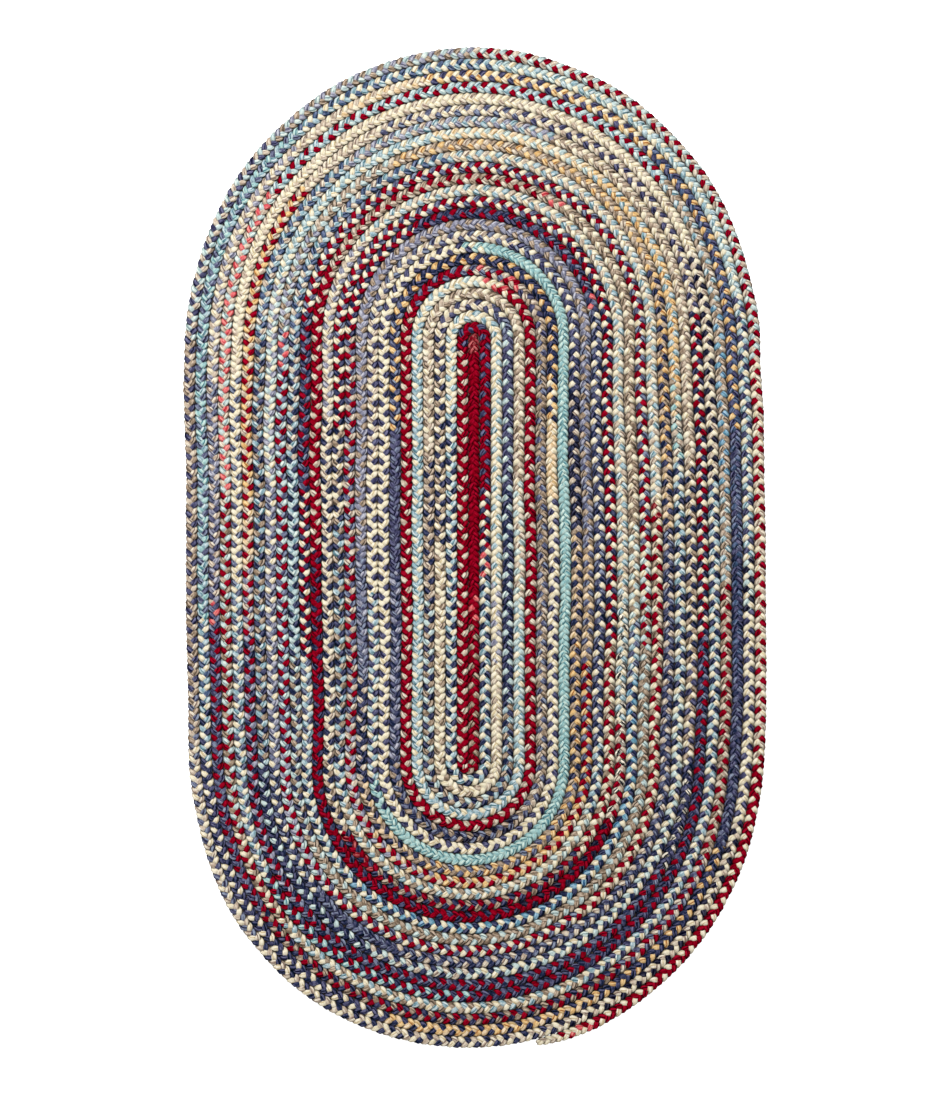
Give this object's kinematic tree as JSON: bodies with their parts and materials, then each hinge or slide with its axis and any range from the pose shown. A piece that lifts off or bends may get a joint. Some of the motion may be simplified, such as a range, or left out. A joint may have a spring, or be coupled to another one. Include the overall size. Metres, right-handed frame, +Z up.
{
  "type": "braided rug",
  "caption": "Flat oval rug of one continuous three-strand braid, wound clockwise and laced row to row, with ribbed rows.",
  "frame": {"origin": "on the floor, under the middle of the rug's box", "axes": "+Y along the rug's length, towards the far turning centre; +Z up, out of the face with the laced rows"},
  "size_m": [0.9096, 1.5654, 0.01],
  "materials": {
    "braided_wool": "matt heathered yarn braid in red, navy, slate blue, light blue, gold, taupe and cream"
  },
  "bodies": {
    "root": {"braided_rug": "braided_wool"}
  },
  "joints": []
}
